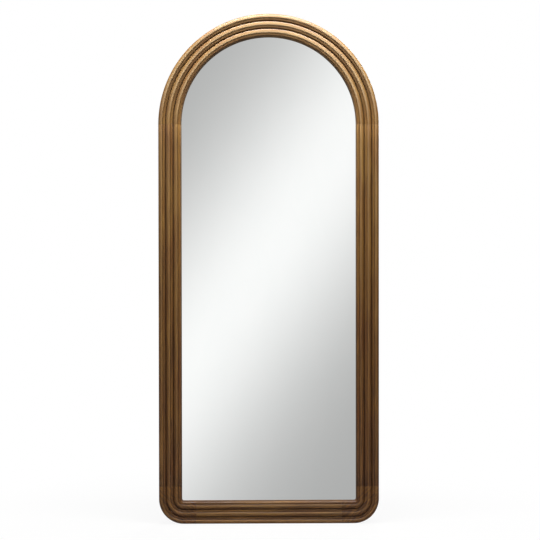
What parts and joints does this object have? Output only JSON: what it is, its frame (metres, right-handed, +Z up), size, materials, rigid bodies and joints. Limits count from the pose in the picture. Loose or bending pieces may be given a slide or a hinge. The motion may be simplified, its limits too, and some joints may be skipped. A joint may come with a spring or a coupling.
{
  "type": "leaning floor mirror",
  "caption": "Arched full-length mirror in a reeded wooden frame, which stands on the floor and leans on a wall, with swinging hanger rings on its back.",
  "frame": {"origin": "on the underside of the bottom rail, in the middle of the frame's width and of the wood's depth", "axes": "+Z up along the mirror's height, +X to the right as seen from the front, and the mirror faces -Y"},
  "size_m": [0.813, 0.0593, 1.88],
  "materials": {
    "frame_wood": "warm mid-brown stained open-grained hardwood, satin",
    "tenon_wood": "pale unfinished hardwood",
    "silvered_glass": "clear float glass, silvered behind",
    "panel_board": "brown-stained plywood",
    "zinc_steel": "zinc-plated steel",
    "bumper_rubber": "matt black rubber"
  },
  "bodies": {
    "mirror": {"crown_segment": "frame_wood", "left_haunch": "frame_wood", "right_haunch": "frame_wood", "left_stile": "frame_wood", "right_stile": "frame_wood", "left_corner_block": "frame_wood", "right_corner_block": "frame_wood", "bottom_rail": "frame_wood", "tenon_crown_left": "tenon_wood", "tenon_crown_right": "tenon_wood", "tenon_spring_left": "tenon_wood", "tenon_spring_right": "tenon_wood", "tenon_foot_left": "tenon_wood", "tenon_foot_right": "tenon_wood", "tenon_rail_left": "tenon_wood", "tenon_rail_right": "tenon_wood", "mirror_glass": "silvered_glass", "back_panel": "panel_board", "panel_screw_1": "zinc_steel", "panel_screw_2": "zinc_steel", "panel_screw_3": "zinc_steel", "panel_screw_4": "zinc_steel", "panel_screw_5": "zinc_steel", "panel_screw_6": "zinc_steel", "panel_screw_7": "zinc_steel", "panel_screw_8": "zinc_steel", "panel_screw_9": "zinc_steel", "panel_screw_10": "zinc_steel", "panel_screw_11": "zinc_steel", "panel_screw_12": "zinc_steel", "hanger_strap_left": "zinc_steel", "hanger_strap_right": "zinc_steel", "hanger_screw_left_1": "zinc_steel", "hanger_screw_left_2": "zinc_steel", "hanger_screw_right_1": "zinc_steel", "hanger_screw_right_2": "zinc_steel", "top_bumper_left": "bumper_rubber", "top_bumper_right": "bumper_rubber", "foot_bumper_left": "bumper_rubber", "foot_bumper_right": "bumper_rubber"},
    "ring_left": {"hanger_ring_left": "zinc_steel"},
    "ring_right": {"hanger_ring_right": "zinc_steel"}
  },
  "joints": [
    {"name": "ring_left_swing", "type": "hinge", "parent": "mirror", "child": "ring_left", "pos_m": [-0.376, 0.0287, 1.2935], "axis": [1, 0, 0], "range_deg": [0, 175]},
    {"name": "ring_right_swing", "type": "hinge", "parent": "mirror", "child": "ring_right", "pos_m": [0.376, 0.0287, 1.2935], "axis": [1, 0, 0], "range_deg": [0, 175]}
  ]
}
